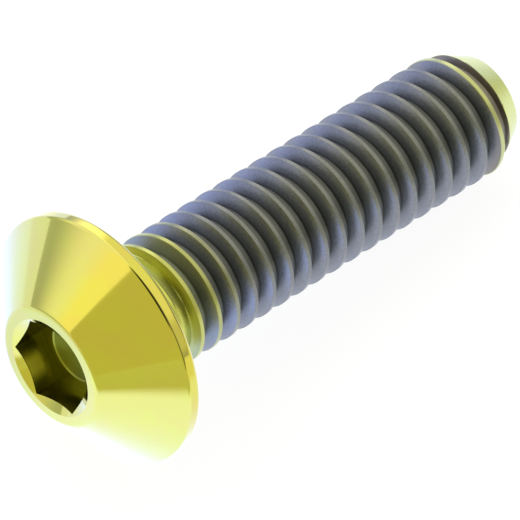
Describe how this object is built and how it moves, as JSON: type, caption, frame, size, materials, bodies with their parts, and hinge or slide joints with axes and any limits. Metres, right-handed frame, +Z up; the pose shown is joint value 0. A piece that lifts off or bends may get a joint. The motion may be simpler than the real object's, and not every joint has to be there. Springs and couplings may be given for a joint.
{
  "type": "button head screw",
  "caption": "Button head screw with a conical gold head, a hexagon socket and a grey right-hand threaded shank, lying on its side on its rim and point.",
  "frame": {"origin": "centre of the bounding box in X and Y, on the floor that the screw lies on", "axes": "+Z up from the floor; +X along the screw from its head to its point, with the screw's own axis in the XZ plane and dipping 8.1 degrees towards +X; +Y across the screw"},
  "size_m": [0.0174, 0.0078, 0.0078],
  "materials": {
    "anodised_titanium": "gold anodised titanium on the head, neck and point; matt grey rolled thread"
  },
  "bodies": {
    "root": {"screw": "anodised_titanium"}
  },
  "joints": []
}
